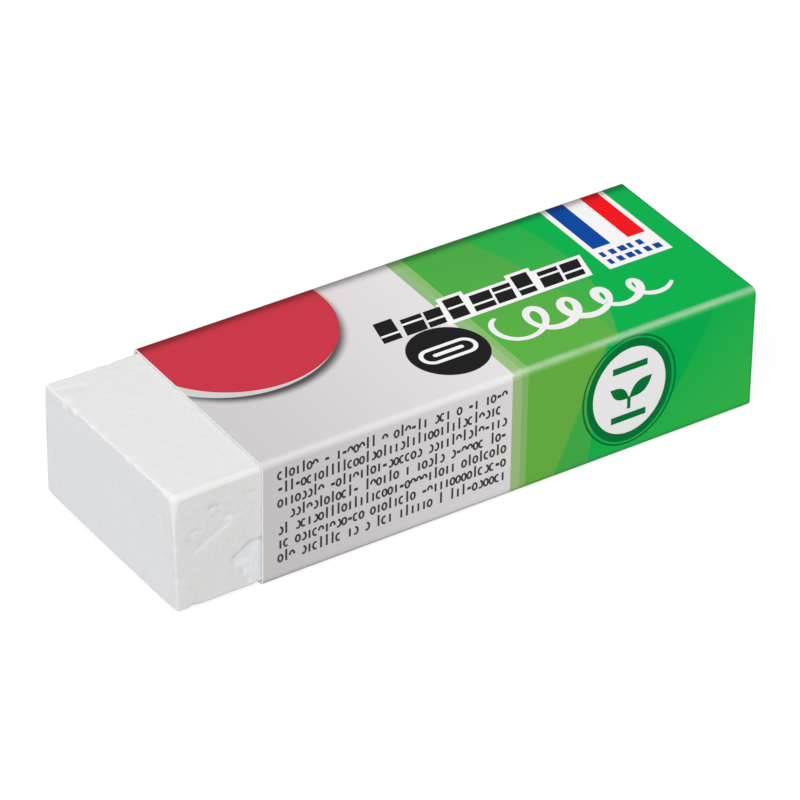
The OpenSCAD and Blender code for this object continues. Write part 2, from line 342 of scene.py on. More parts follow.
# Each nick has its place, its half width and its depth.
nicks = [(-32.5, 7.3, 13.1, 0.55, 0.2), (-32.5, 5.4, 13.2, 0.3, 0.22), (-32.5, 2.3, 13.2, 0.35, 0.16),
         (-32.5, 0.4, 13.2, 0.22, 0.1), (-32.5, -3.7, 13.2, 0.28, 0.16), (-32.5, -5.3, 13.2, 0.25, 0.18),
         (-32.5, -8.0, 13.2, 0.2, 0.08), (-32.5, -11.1, 4.0, 0.3, 0.1), (-32.5, -11.1, 7.6, 0.25, 0.07),
         (-26.0, 10.9, 13.2, 0.4, 0.1), (-30.6, -11.1, 0.3, 0.4, 0.12), (-23.3, -11.1, 0.3, 0.3, 0.1)]
print("dents:", len(dents), " nicks:", len(nicks))

# %% How deep each mark goes


def line_reach(a, b, line):
    """Distance from a point to a line of points, which side it is on, and the way along it."""
    best = (1e9, 0.0, 0.0)
    for i, ((xa, ya), (xb, yb)) in enumerate(zip(line, line[1:])):
        dx, dy = xb - xa, yb - ya
        t = min(1.0, max(0.0, ((a - xa) * dx + (b - ya) * dy) / (dx * dx + dy * dy)))
        away = math.hypot(a - xa - t * dx, b - ya - t * dy)
        if away < best[0]:
            best = (away, dx * (b - ya) - dy * (a - xa), (i + t) / (len(line) - 1))
    return best


def inside_scoop(a, b):
    """Whether a point of the front face lies in the scoop."""
    crossings = 0
    for (xa, ya), (xb, yb) in zip(scoop, scoop[1:] + scoop[:1]):
        if (ya > b) != (yb > b) and a < xa + (b - ya) * (xb - xa) / (yb - ya):
            crossings += 1
    return crossings % 2 == 1


def on_face(p):
    """The face a point is nearest to, and its two coordinates there."""
    gaps = {"front": p[1] - slab_lo[1], "back": slab_hi[1] - p[1], "top": slab_hi[2] - p[2],
            "bottom": p[2] - slab_lo[2], "end": p[0] - slab_lo[0], "far": slab_hi[0] - p[0]}
    face = min(gaps, key=gaps.get)
    flat_spot = {"front": (p[0], p[2]), "back": (p[0], p[2]), "top": (p[0], p[1]), "bottom": (p[0], p[1])}
    return face, flat_spot.get(face, (p[1], p[2]))


def pressed(p):
    """How far a point is pushed inwards, in millimetres, and how deep in the scoop it is."""
    depth = 0.02 * (1 + noise.noise(Vector(p) * 0.3)) + 0.012 * abs(noise.noise(Vector(p) * 1.1))
    if p[0] > slab_lo[0] + bare_end:
        return depth, 0.0
    face, (a, b) = on_face(p)
    depth += 0.012 * abs(noise.noise(Vector(p) * 2.6)) + 0.006 * noise.noise(Vector(p) * 5.5)
    for side, line, deep, wide, shelf, shelf_wide in dents:
        if side == face:
            away, turn_side, way = line_reach(a, b, line)
            if away < 3 * shelf_wide:
                fade = min(1.0, 6 * min(way, 1 - way) + 0.15)
                depth += deep * fade * bell(away, wide)
                depth += shelf * fade * bell(away, shelf_wide) * (turn_side < 0)
    in_scoop = 0.0
    if face == "front" and a > -27.5 and b < 7:
        away = line_reach(a, b, scoop)[0]
        if inside_scoop(a, b):
            in_scoop = min(1.0, away / 0.35)
            shallower = 0.10 * (a + 26.4) + 0.12 * (5.7 - b)
            uneven = 0.10 * noise.noise(Vector((a, b, 2.0)) * 0.9)
            depth += in_scoop * max(0.02, 0.26 * (1 - shallower) + uneven)
    for x, y, z, wide, deep in nicks:
        away = math.dist(p, (x, y, z))
        if away < 3 * wide:
            depth += deep * bell(away, wide)
    return depth, in_scoop


print("depth in the scoop, mm:", [round(pressed((x, slab_lo[1], 4.0))[0], 2) for x in (-26, -25, -24)])

# %% Rounding and grid as functions


def rounded_point(p):
    """Pulls a point of the box onto its rounding, and presses the marks in."""
    radius = edge_radius(p)
    low = slab_lo + (0, 0, rubbed_lift(p))
    core = [min(max(c, lo + radius), hi - radius) for c, lo, hi in zip(p, low, slab_hi)]
    out_way = Vector(p) - Vector(core)
    out_way.normalize()
    depth, in_scoop = pressed(p)
    at = Vector(core) + out_way * (radius - depth)
    at.x += end_skew(p)
    at.y -= drawn_in(p[0], at.y)
    return at, in_scoop


def box_grid(xs, ys, zs):
    """The lattice points on the faces of a box, and the quads between them, facing out."""
    axes_of, counts = (xs, ys, zs), (len(xs), len(ys), len(zs))
    index, points, quads = {}, [], []

    def at(key):
        if key not in index:
            index[key] = len(points)
            points.append(tuple(axes_of[k][key[k]] for k in range(3)))
        return index[key]

    for axis in range(3):
        one, two = (axis + 1) % 3, (axis + 2) % 3
        for side in (0, counts[axis] - 1):
            for i in range(counts[one] - 1):
                for j in range(counts[two] - 1):
                    ring = []
                    for di, dj in ((0, 0), (1, 0), (1, 1), (0, 1)):
                        key = [0, 0, 0]
                        key[axis], key[one], key[two] = side, i + di, j + dj
                        ring.append(at(tuple(key)))
                    quads.append(ring if side else ring[::-1])
    return points, quads

# %% Build the slab
slab_points, slab_quads = box_grid(grid_x, grid_y, grid_z)
shaped = [rounded_point(p) for p in slab_points]
slab = object_from("vinyl_slab", [at for at, _ in shaped], slab_quads)
slab.data.shade_smooth()
# Painted light: a tint per face, warmer and darker on the front and top, cooler and lighter on the end and
# in the scoop.
face_light = slab.data.attributes.new("face_light", "FLOAT", "POINT")
for number, (p, (_, in_scoop)) in enumerate(zip(slab_points, shaped)):
    lit_warmth = bell(p[1] - slab_lo[1], 0.9) * (1 - in_scoop) - 0.5 * bell(p[0] - slab_lo[0], 0.6)
    lit_warmth += 0.6 * bell(slab_hi[2] - p[2], 0.5)
    face_light.data[number].value = 0.5 + 0.5 * lit_warmth - 0.5 * in_scoop
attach(slab, "block")
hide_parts("eraser_block")
print("slab quads:", len(slab_quads))

# %% [markdown]
# ## Soft vinyl
# Eraser vinyl is a soft plastic filled with chalk. It is matt, and a little light
# travels under the surface, which is why its edges glow and its shadows stay pale.
# Fine grain comes from the filler, about a fifth of a millimetre across. Scuffs, small
# pits about a millimetre apart and faint cloudy patches come from handling. The tint
# stored on the mesh is painted light: the front and top are a little warmer and darker,
# and the end and the scoop cooler and lighter, as light falls on them.

# %% Vinyl material
vinyl, tree, out = new_material("chalk-filled soft vinyl")
place = add_node(tree, "ShaderNodeTexCoord").outputs["Object"]
# The painted face light, stored on the mesh, warms the tint of the front and top and cools the end and the
# scoop.
face_light_map = add_node(tree, "ShaderNodeAttribute", settings={"attribute_name": "face_light"})
clouds = noise_node(tree, place, 1 / (4 * MM), 5.0, 0.6)
mild = math_node(tree, "MULTIPLY_ADD", clouds, 0.5, -0.25)
warmth = math_node(tree, "ADD", mild, face_light_map.outputs["Fac"])
tint = mix_colours(tree, warmth, "#ECEEF2", "#E9E8E7")
grain = noise_node(tree, place, 1 / (0.2 * MM), 3.0, 0.65)
scuffs = noise_node(tree, place, 1 / (1.1 * MM), 6.0, 0.65)
pits = add_node(tree, "ShaderNodeTexVoronoi", {"Vector": place}, Scale=1 / (1.3 * MM), Randomness=1.0)
pit = map_range(tree, pits.outputs["Distance"], 0.02, 0.13, -1.4, 0.0)
rough = math_node(tree, "MULTIPLY_ADD", scuffs, 3.2, grain)
relief = math_node(tree, "ADD", rough, pit)
bump = add_node(tree, "ShaderNodeBump", {"Height": relief}, Strength=0.6, Distance=0.04 * MM)
shine = map_range(tree, scuffs, 0.0, 1.0, 0.48, 0.66)
coat(tree, out, {"Base Color": tint, "Roughness": shine, "Normal": bump}, Specular_IOR_Level=0.08,
     Subsurface_Weight=0.12, Subsurface_Scale=0.5 * MM, Subsurface_Radius=(1.0, 0.9, 0.8))
slab.data.materials.append(vinyl)
print("vinyl nodes:", len(tree.nodes))

# %% [markdown]
# ## The flat blank
# A sleeve is printed and cut flat, then folded. Its cross section is one path: down the
# glue flap, round the bottom fold, along the bottom, up the front, over the top and down
# the back, where the free edge laps over the flap. Working on the flat blank has two
# gains. The print can be drawn with plain shapes, and it runs over the folds as ink
# does. `u` is the distance from the near cut edge and `s` the distance along the path.

# %% The folding path
arc = math.pi / 2 * fold_r
front_y, back_y, top_z = card_lo[1], card_hi[1], card_hi[2]
legs = [
    # length, start y, start z, direction in degrees
    (flap_h - fold_r, back_y - card_t, flap_h, 270),
    (sleeve_w - card_t - 2 * fold_r, back_y - card_t - fold_r, 0.0, 180),
    (sleeve_h - 2 * fold_r, front_y, fold_r, 90),
    (sleeve_w - 2 * fold_r, front_y + fold_r, top_z, 0),
    (sleeve_h - fold_r - lap_rise, back_y, top_z - fold_r, 270),
]
leg_start = [sum(leg[0] + arc for leg in legs[:i]) for i in range(len(legs))]
blank_s = leg_start[-1] + legs[-1][0]
fold_at = [start - arc / 2 for start in leg_start[1:]]


def folded(s):
    """Where the outer face of the card is at a distance along the path, and its outward way."""
    for i in range(len(legs) - 1, -1, -1):
        length, y, z, heading = legs[i]
        if s >= leg_start[i] - 1e-9:
            way = math.radians(heading)
            left = (-math.sin(way), math.cos(way))
            along = min(s - leg_start[i], length)
            y, z = y + along * math.cos(way), z + along * math.sin(way)
            bend = max(0.0, s - leg_start[i] - length) / fold_r
            hub = (y - left[0] * fold_r, z - left[1] * fold_r)
            turned = way - bend
            out_way = (-math.sin(turned), math.cos(turned))
            return (hub[0] + out_way[0] * fold_r, hub[1] + out_way[1] * fold_r), out_way


top_s = leg_start[3] - fold_r
front_s = leg_start[2] - fold_r
print("blank, mm:", round(sleeve_len, 1), "by", round(blank_s, 1))
print("folds at:", [round(f, 1) for f in fold_at])

# %% [markdown]
# ## The print as flat shapes
# The print is built from plain shapes: circles, leaning bars, bands and rows. Each shape
# is an outline on the blank with an ink, and a later shape lies over an earlier one.
# A shape with the ink `ground` shows the ground colours again, and the ink `board` is
# bare card. Four of the greens are airbrushed: they run from one colour to another.
# The positions follow the panels: a top shape is given from the near edge and the front
# fold, and a front shape from the near edge and the table.

# %% Inks
inks = {
    "board": "#ECEBEA", "pale": "#E1DDDE", "stripe_deep": "#8BBF6F",
    "lime_side": "#6AB846", "mid_side": "#46B44B", "emerald": "#00B34E", "emerald_side": "#00B652",
    "red": "#CD3748", "rim": "#D2D4D3", "white": "#FDFBFC", "ink": "#181618", "blue": "#0048A0",
    "signal_red": "#F8101C", "forest": "#007738",
}
blends = {
    # colour, place on the blank, colour, place on the blank
    "lime": ("#49AD46", (33, top_s + 20), "#5FB445", (33, top_s + 3)),
    "stripe": ("#A5C686", (28, front_s + 12), "#94C184", (28, top_s + 10)),
    "leaf": ("#29B24A", (41, top_s + 20), "#4AB34A", (41, top_s + 3)),
    "leaf_side": ("#00B950", (47, front_s + 12), "#37C050", (54, front_s + 2)),
}
whole_blank = (0.0, 1e3)
outlines = []
print("inks:", len(inks), "flat and", len(blends), "airbrushed")

# %% Shapes to draw with


def ink_at(name, u, s):
    """The colour of an ink at a place on the blank; a blend runs from one place to another."""
    if name not in blends:
        return linear(inks[name])
    first, (ua, sa), last, (ub, sb) = blends[name]
    along = ((u - ua) * (ub - ua) + (s - sa) * (sb - sa)) / ((ub - ua) ** 2 + (sb - sa) ** 2)
    part = min(1.0, max(0.0, along))
    return [a + part * (b - a) for a, b in zip(linear(first), linear(last))]


def draw(name, points, panel=0.0, kept=whole_blank):
    """Adds an outline in millimetres, moved to its panel, with the stretch of blank it is kept to."""
    outlines.append((name, [(u, s + panel) for u, s in points], kept))


def ellipse(cu, cv, ru, rv, count=72):
    """Points round an ellipse."""
    return [(cu + ru * math.cos(2 * math.pi * i / count), cv + rv * math.sin(2 * math.pi * i / count))
            for i in range(count)]


def bar(u, v, width, height, lean=0.0):
    """A bar with its lower left corner at a place, which can lean like an italic stroke."""
    return [(u, v), (u + width, v), (u + width + lean, v + height), (u + lean, v + height)]


def pill(cu, cv, width, height):
    """A bar with round ends."""
    r = height / 2
    ends = [(cu + side * (width / 2 - r), side) for side in (1, -1)]
    return [(c + side * r * math.cos(a), cv + side * r * math.sin(a))
            for c, side in ends for a in [math.pi * (i / 14 - 0.5) for i in range(15)]]

# %% [markdown]
# The ground colours are bands and arcs that cross the whole sleeve. They run over the
# edges of the sheet by a millimetre, and the sheet trims them. The pale zone and its
# stripe are a little out of step at the front fold, as print on folded card is.

# %% Ground colours
over = 1
pale_len, stripe_w, light_w = 27.5, 1.75, 1.05


def band(ends_at):
    """A band round the whole sheet, from the near edge to a distance from it."""
    return bar(-over, -over, ends_at + over, blank_s + 2 * over)


draw("emerald", band(sleeve_len + over))
top_panel, front_panel = (fold_at[2], fold_at[3]), (fold_at[1], fold_at[2])
draw("leaf", ellipse(14.1, 14.5, 29.0, 29.0, 240), top_s, top_panel)
draw("lime", ellipse(-17.4, 3.0, 57.0, 57.0, 400), top_s, top_panel)
draw("leaf_side", bar(-over, -over, sleeve_len + 2 * over, 16), front_s, front_panel)
dark_patch = [(34.0, 14.5), (37.0, 5.0), (43.4, 2.6), (45.2, 4.0), (47.3, 7.0), (49.2, 10.5), (51.0, 14.5)]
draw("emerald_side", dark_patch, front_s, front_panel)
draw("mid_side", bar(-over, -over, 36.9, 16.0, 2.4), front_s, front_panel)
draw("lime_side", bar(-over, -over, 32.7, 16.0, 6.9), front_s, front_panel)
below_fold, above_fold = (0.0, fold_at[2]), (fold_at[2], whole_blank[1])
for ends_at, stretch in ((pale_len - 0.2, below_fold), (pale_len + 0.05, above_fold)):
    draw("stripe_deep", band(ends_at + stripe_w), kept=stretch)
    draw("stripe", band(ends_at + light_w), kept=stretch)
    draw("pale", band(ends_at), kept=stretch)
ground_count = len(outlines)
print("ground outlines:", ground_count)

# %% [markdown]
# The top panel has a red disc with a grey crescent beside it, a row of leaning bars with
# a white surround where it stands on green, a dot, and a white label with two bands of
# colour over two rows of small squares.

# %% Marks on the top panel
draw("rim", ellipse(8.15, 21.2, 11.36, 11.36, 120), top_s)
draw("red", ellipse(8.95, 20.8, 10.55, 10.55, 120), top_s)
word_v, surround_v = 10.9, 10.4
bars = []
for i in range(9):
    width = 2.08 * (1 + 0.13 * math.sin(math.radians(110 * i)))
    height = 3.35 if i % 3 == 0 else 2.65
    bars.append((20.1 + 2.59 * i, width, height))
for u, width, height in bars[3:]:
    draw("white", bar(u - 0.5, surround_v, width + 0.95, height + 0.95, 0.9), top_s)
draw("white", bar(pale_len - 0.6, surround_v, 15.6, 3.5, 0.85), top_s)
for u, width, height in bars:
    draw("ink", bar(u, word_v, width, height, 0.8), top_s)
for number, (u, width, height) in enumerate(bars):
    cut = 0.9 + 0.75 * (number % 2)
    draw("white", bar(u + 0.3 * cut, word_v + cut, width, 0.3, 0.09), top_s)
dot_u, dot_v, dot_r = 24.55, 6.75, 4.05
draw("ink", ellipse(dot_u, dot_v, dot_r, dot_r), top_s)
for ink_name, width, height in (("white", 6.2, 2.6), ("ink", 5.3, 1.7), ("white", 3.4, 0.5)):
    draw(ink_name, pill(dot_u, dot_v, width, height), top_s)
label_u, band_v, band_len = 46.0, 14.1, 12.6
draw("white", bar(45.38, 10.3, 7.35, 17.0), top_s)
draw("blue", bar(label_u, band_v, 2.08, band_len), top_s)
draw("signal_red", bar(50.1, band_v, 2.06, band_len), top_s)
for v, square_count in ((10.95, 6), (12.35, 5)):
    for i in range(square_count):
        draw("blue", bar(label_u + 1.06 * i, v, 0.5 + 0.3 * (i * 7 % 3) / 2, 0.9), top_s)
print("outlines so far:", len(outlines))

# %% [markdown]
# The front panel has a round badge: two green rings on the ground colour, and a white
# field with a small sprout between two bars.

# %% Badge on the front panel


def leaf_outline(cu, cv, length, half, degrees):
    """A pointed leaf that starts at a place and points along an angle."""
    way = math.radians(degrees)
    ts = [i / 12 for i in range(13)]
    shape = [(length * t, -half * math.sin(math.pi * t)) for t in ts]
    shape += [(length * t, half * math.sin(math.pi * t)) for t in ts[-2:0:-1]]
    return [(cu + a * math.cos(way) - b * math.sin(way), cv + a * math.sin(way) + b * math.cos(way))
            for a, b in shape]


badge_u, badge_z = 40.74, 7.1
badge_rings = (("forest", 5.42, 6.13), ("ground", 5.2, 5.92), ("forest", 4.9, 5.72), ("white", 4.18, 4.82))
for ink_name, ru, rv in badge_rings:
    draw(ink_name, ellipse(badge_u, badge_z, ru, rv, 96), front_s)
draw("forest", leaf_outline(badge_u, 6.2, 3.2, 0.75, 35), front_s)
draw("forest", leaf_outline(badge_u, 6.2, 2.7, 0.62, 145), front_s)
draw("forest", bar(badge_u - 0.2, 5.0, 0.4, 1.4), front_s)
draw("forest", bar(badge_u - 2.0, 9.35, 4.0, 0.75), front_s)
draw("forest", bar(badge_u - 2.0, 3.75, 4.0, 0.75), front_s)
print("outlines on the blank:", len(outlines))

# %% [markdown]
# ## Cut the print into the sheet and fold it
# A constrained triangulation takes all outlines at once and returns triangles that
# never cross one. For each triangle it tells which outlines it lies in, so its ink is
# the last of them. Lines along the folds let the sheet bend. The folded sheet gets an
# inner face one card thickness further in and rims that close it, so the card is real.

# %% Triangulate the blank
bend_steps = 8
corners, lines = [(0, 0), (sleeve_len, 0), (sleeve_len, blank_s), (0, blank_s)], []
loops = [[0, 1, 2, 3]]
for start in leg_start[1:]:
    for i in range(bend_steps + 1):
        s = start - arc + arc * i / bend_steps
        lines.append((len(corners), len(corners) + 1))
        corners += [(0, s), (sleeve_len, s)]
for name, points, kept in outlines:
    loops.append(list(range(len(corners), len(corners) + len(points))))
    corners += points
flat, _, tris, _, _, holders = delaunay_2d_cdt([Vector(c) for c in corners], lines, loops, 0, 1e-5, True)
flap_end = leg_start[0] + legs[0][0]
sheet_tris, sheet_inks = [], []
for tri, inside in zip(tris, holders):
    if 0 not in inside:
        continue
    centre = sum((flat[k] for k in tri), Vector((0, 0))) / 3
    ground = [i - 1 for i in inside if 0 < i <= ground_count]
    marks = [i - 1 for i in inside if i > ground_count]
    ground = [g for g in ground if outlines[g][2][0] < centre.y < outlines[g][2][1]]
    name = outlines[max(ground)][0]
    if marks and outlines[max(marks)][0] != "ground":
        name = outlines[max(marks)][0]
    if centre.y < flap_end:
        name = "board"
    sheet_tris.append(tuple(tri))
    sheet_inks.append(name)
print("triangles on the printed face:", len(sheet_tris))

# %% Fold the sheet and give it thickness
used = sorted({k for tri in sheet_tris for k in tri})
renumber = {k: i for i, k in enumerate(used)}
outer, inner, ways, spots = [], [], [], []
for k in used:
    u, s = min(max(flat[k].x, 0), sleeve_len), min(max(flat[k].y, 0), blank_s)
    (y, z), way = folded(s)
    x, y = card_lo[0] + u, y - drawn_in(card_lo[0] + u, y)
    outer.append((x, y, z))
    inner.append((x, y - way[0] * card_t, z - way[1] * card_t))
    ways.append(way)
    spots.append((u, s))
count = len(used)
face_list = [tuple(renumber[k] for k in tri) for tri in sheet_tris]
edges = dict.fromkeys((a, b) for tri in face_list for a, b in zip(tri, tri[1:] + tri[:1]))
rims = [(a, b) for a, b in edges if (b, a) not in edges]
all_faces = face_list + [tuple(k + count for k in tri[::-1]) for tri in face_list]
all_faces += [(b, a, a + count, b + count) for a, b in rims]
sleeve = object_from("printed_sleeve", outer + inner, all_faces)
print("rim faces:", len(rims), " sleeve faces:", len(all_faces))

# %% [markdown]
# Four things are stored on the mesh: the ink of each face as a colour attribute, whether
# its ground is the pale one, the blank's own coordinates as a UV map (1 unit is 100 mm),
# and the true direction of the card at each corner, so that flat panels shade flat and
# folds shade round. All are made before any is fetched, as making one can move another.

# %% Colours, blank coordinates and shading directions
uv_unit = 100
mesh = sleeve.data
mesh.uv_layers.new(name="blank")
mesh.color_attributes.new("ink", "FLOAT_COLOR", "CORNER")
mesh.attributes.new("pale_ground", "FLOAT", "FACE")
blank_map, colour = mesh.uv_layers["blank"], mesh.color_attributes["ink"]
pale_ground = mesh.attributes["pale_ground"]
directions = []
for number, polygon in enumerate(mesh.polygons):
    printed = number < len(face_list)
    unprinted = len(face_list) <= number < 2 * len(face_list)
    name = sheet_inks[number] if printed else "board"
    polygon.material_index = 0 if printed else 1
    if name == "board":
        polygon.material_index = 1
    pale_ground.data[number].value = float(name == "pale")
    for corner in polygon.loop_indices:
        k = mesh.loops[corner].vertex_index
        u, s = spots[k % count]
        colour.data[corner].color = ink_at(name, u, s)
        blank_map.data[corner].uv = (u / uv_unit, s / uv_unit)
        way = ways[k % count]
        if printed:
            directions.append((0, way[0], way[1]))
        elif unprinted:
            directions.append((0, -way[0], -way[1]))
        else:
            directions.append(tuple(polygon.normal))
mesh.shade_smooth()
mesh.normals_split_custom_set(directions)
print("corners with ink:", len(directions))
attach(sleeve, "sleeve")
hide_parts("card_sleeve")

# %% [markdown]
# ## Printed card
# The board is coated white, printed in flat inks and sealed with a thin satin varnish.
# What the eye sees is the ink, a soft sheen, and the folds: a pale line painted along the
# top front fold as its highlight, and painted shade at the back fold and the bottom fold.
# The blank's own coordinates say how far each point is from a fold.

# %% Printed card: painted highlight and shade along the folds
printed_card, tree, out = new_material("offset-printed coated card, satin varnish")
ink = add_node(tree, "ShaderNodeAttribute", settings={"attribute_name": "ink"})
blank = add_node(tree, "ShaderNodeUVMap", settings={"uv_map": "blank"})
axes = add_node(tree, "ShaderNodeSeparateXYZ", {0: blank}).outputs
along = math_node(tree, "MULTIPLY", axes["Y"], uv_unit / blank_s)
fold_light_ramp = add_node(tree, "ShaderNodeValToRGB", {0: along})
stops = fold_light_ramp.color_ramp
stops.interpolation = "EASE"
stops.elements[-1].color = (0, 0, 0, 1)
fold_light_stops = [
    # fold, distance from its middle, strength of the painted highlight, strength of the painted shade
    (1, -0.6, 0, 0.9), (1, -0.02, 0, 0.9), (1, 0.26, 0, 0.15), (1, 0.8, 0, 0),
    (2, -0.30, 0, 0), (2, 0, 0.9, 0), (2, 0.15, 1, 0), (2, 0.30, 0.8, 0), (2, 0.75, 0, 0),
    (3, -1.8, 0, 0), (3, -1.36, 0, 0.14), (3, -1.0, 0, 0.52), (3, -0.66, 0, 0.76), (3, -0.3, 0, 0.9),
    (3, 0.6, 0, 0.3), (3, 2.0, 0, 0),
]
for fold, beside, highlight_part, shade_part in fold_light_stops:
    stops.elements.new((fold_at[fold] + beside) / blank_s).color = (highlight_part, shade_part, 0, 1)
fold_light = add_node(tree, "ShaderNodeSeparateColor", {0: fold_light_ramp}).outputs
print("stops round the sleeve:", len(stops.elements))

# %% [markdown]
# The pale ground is airbrushed too: it gets lighter from the near edge to the stripe, and
# goes dark close round the disc. The last fifth of a millimetre at the far cut edge is
# darkened by painted shade.

# %% Printed card: ink
across = math_node(tree, "MULTIPLY", axes["X"], uv_unit / sleeve_len)
airbrush = add_node(tree, "ShaderNodeValToRGB", {0: across})
greys = airbrush.color_ramp.elements
greys[0].color, greys[1].color = (0.86, 0.86, 0.86, 1), (1.1, 1.1, 1.1, 1)
for u, grey in ((4.0, 0.88), (12.0, 0.95), (20.0, 1.03), (pale_len, 1.1)):
    greys.new(u / sleeve_len).color = (grey, grey, grey, 1)
disc_way = add_node(tree, "ShaderNodeVectorMath", {0: blank}, {"operation": "DISTANCE"},
                    i1=(8.36 / uv_unit, (top_s + 20.07) / uv_unit, 0))
cast = map_range(tree, disc_way.outputs["Value"], 10.47 / uv_unit, 11.72 / uv_unit, 0.13, 1.0, True)
shade = math_node(tree, "MULTIPLY", airbrush, cast)
change = math_node(tree, "SUBTRACT", shade, 1.0)
on_pale = add_node(tree, "ShaderNodeAttribute", settings={"attribute_name": "pale_ground"})
airbrushed = math_node(tree, "MULTIPLY_ADD", change, on_pale.outputs["Fac"], 1.0)
# Painted shade: the last fifth of a millimetre at the far cut edge is darker.
far_edge_shade = map_range(tree, axes["X"], (sleeve_len - 0.2) / uv_unit, sleeve_len / uv_unit, 1.0, 0.5)
toned = math_node(tree, "MULTIPLY", airbrushed, far_edge_shade)
shaded = mix_colours(tree, 1.0, ink.outputs["Color"], toned, "MULTIPLY")
spot_map = add_node(tree, "ShaderNodeMapping", {"Vector": blank}, Scale=[uv_unit] * 3)
# Painted highlight: a pale line along the top front fold, broken up by patchy noise.
patchy = noise_node(tree, spot_map, 0.35, 5.0, 0.6)
patch = map_range(tree, patchy, 0.25, 0.7, 0.28, 0.46)
fold_highlight_part = math_node(tree, "MULTIPLY", fold_light["Red"], patch)
fold_highlit_colour = mix_colours(tree, fold_highlight_part, shaded, "#EEEEEA")
# Painted shade: darker at the back top fold and along the bottom front fold.
painted_fold_shade = math_node(tree, "MULTIPLY", fold_light["Green"], 0.8)
fold_shaded_colour = mix_colours(tree, painted_fold_shade, fold_highlit_colour, "#5A5450", "MULTIPLY")
print("tones across the pale ground:", len(greys))

# %% Printed card: surface
fibre = noise_node(tree, spot_map, 6.0, 3.0, 0.6)
sway = noise_node(tree, spot_map, 0.07, 1.0)
card_relief = math_node(tree, "MULTIPLY_ADD", sway, 2.0, fibre)
card_bump = add_node(tree, "ShaderNodeBump", {"Height": card_relief}, Strength=0.25, Distance=0.012 * MM)
varnish = map_range(tree, fibre, 0.0, 1.0, 0.4, 0.5)
coat(tree, out, {"Base Color": fold_shaded_colour, "Roughness": varnish, "Normal": card_bump}, Specular_IOR_Level=0.03)
print("printed card nodes:", len(tree.nodes))

# %% [markdown]
# Where the card is cut, and inside it, the plain board shows: warm white, matt, fibrous.

# %% Bare board material
bare_board, tree, out = new_material("uncoated board, cut edge and inside")
place = add_node(tree, "ShaderNodeTexCoord").outputs["Object"]
fibres = noise_node(tree, place, 1 / (0.4 * MM), 5.0, 0.7)
board_tint = mix_colours(tree, fibres, "#E4E3E2", "#F3F3F2")
board_bump = add_node(tree, "ShaderNodeBump", {"Height": fibres}, Strength=0.3, Distance=0.03 * MM)
coat(tree, out, {"Base Color": board_tint, "Normal": board_bump}, Roughness=0.85, Specular_IOR_Level=0.2)
sleeve.data.materials.append(printed_card)
sleeve.data.materials.append(bare_board)
print("materials on the sleeve:", len(sleeve.data.materials))

# %% [markdown]
# ## Small print, from rows of strokes
# The block of small print is too small to read. What the eye takes in is seven even
# rows of fine dark marks, with gaps between words and a dot here and there. That repeats
# by a rule, so Geometry Nodes make it. Points stand on a grid, a seeded random choice
# drops some to part the words, and each point left gets one of a few marks: a short or a
# tall stroke, a ring, a half ring open to one side, a dot. None of them spells a word.
# The marks are a film of ink, a hundredth of a millimetre proud of the card.

# %% Film of ink


def film_of_ink(name, speck, darker, lighter):
    """Ink as a thin film under varnish, with faint specks of a size in millimetres."""
    material, tree, out = new_material(name)
    place = add_node(tree, "ShaderNodeTexCoord").outputs["Object"]
    specks = noise_node(tree, place, 1 / (speck * MM), 2.0)
    tint = mix_colours(tree, specks, darker, lighter)
    coat(tree, out, {"Base Color": tint}, Roughness=0.36, Specular_IOR_Level=0.3)
    return material


black_ink = film_of_ink("black offset ink under varnish", 0.12, "#161416", "#2C2A2C")
white_ink = film_of_ink("white offset ink under varnish", 0.5, "#F2F0F1", "#F9F8F8")
print("films of ink:", black_ink.name, "and", white_ink.name)

# %% A new tree


def new_tree(name, inputs):
    """A geometry tree with named inputs and one geometry output."""
    made = bpy.data.node_groups.new(name, "GeometryNodeTree")
    made.interface.new_socket("Geometry", in_out="INPUT", socket_type="NodeSocketGeometry")
    for label, (kind, value) in inputs.items():
        made.interface.new_socket(label, in_out="INPUT", socket_type=kind).default_value = value
    made.interface.new_socket("Geometry", in_out="OUTPUT", socket_type="NodeSocketGeometry")
    return made, made.nodes.new("NodeGroupInput").outputs, made.nodes.new("NodeGroupOutput").inputs


def put_points(tree, points, spot, start):
    """Moves points to the spots that a tree works out, counted from a start."""
    place = add_node(tree, "ShaderNodeVectorMath", {0: spot, 1: start}, {"operation": "ADD"})
    return add_node(tree, "GeometryNodeSetPosition", {"Geometry": points, "Position": place})


def end_tree(tree, geometry, ink_input, result):
    """Ends a tree: makes its instances real, gives them the ink and hands them out."""
    real = add_node(tree, "GeometryNodeRealizeInstances", {0: geometry})
    inked = add_node(tree, "GeometryNodeSetMaterial", {"Geometry": real, "Material": ink_input})
    feed(tree, result[0], inked)

# %% Grid of points for the small print
print_tree, given, result = new_tree("rows_of_small_print", {
    "Rows": ("NodeSocketInt", 7), "Marks": ("NodeSocketInt", 40),
    "Row pitch": ("NodeSocketFloat", 1.54 * MM), "Mark pitch": ("NodeSocketFloat", 0.63 * MM),
    "Height": ("NodeSocketFloat", 0.9 * MM), "Line": ("NodeSocketFloat", 0.215 * MM),
    "Film": ("NodeSocketFloat", 0.02 * MM), "Start": ("NodeSocketVector", (0, 0, 0)),
    "Seed": ("NodeSocketInt", 5), "Ink": ("NodeSocketMaterial", None)})


def print_math(operation, *sides):
    """One sum in the tree of the small print."""
    return math_node(print_tree, operation, *sides)


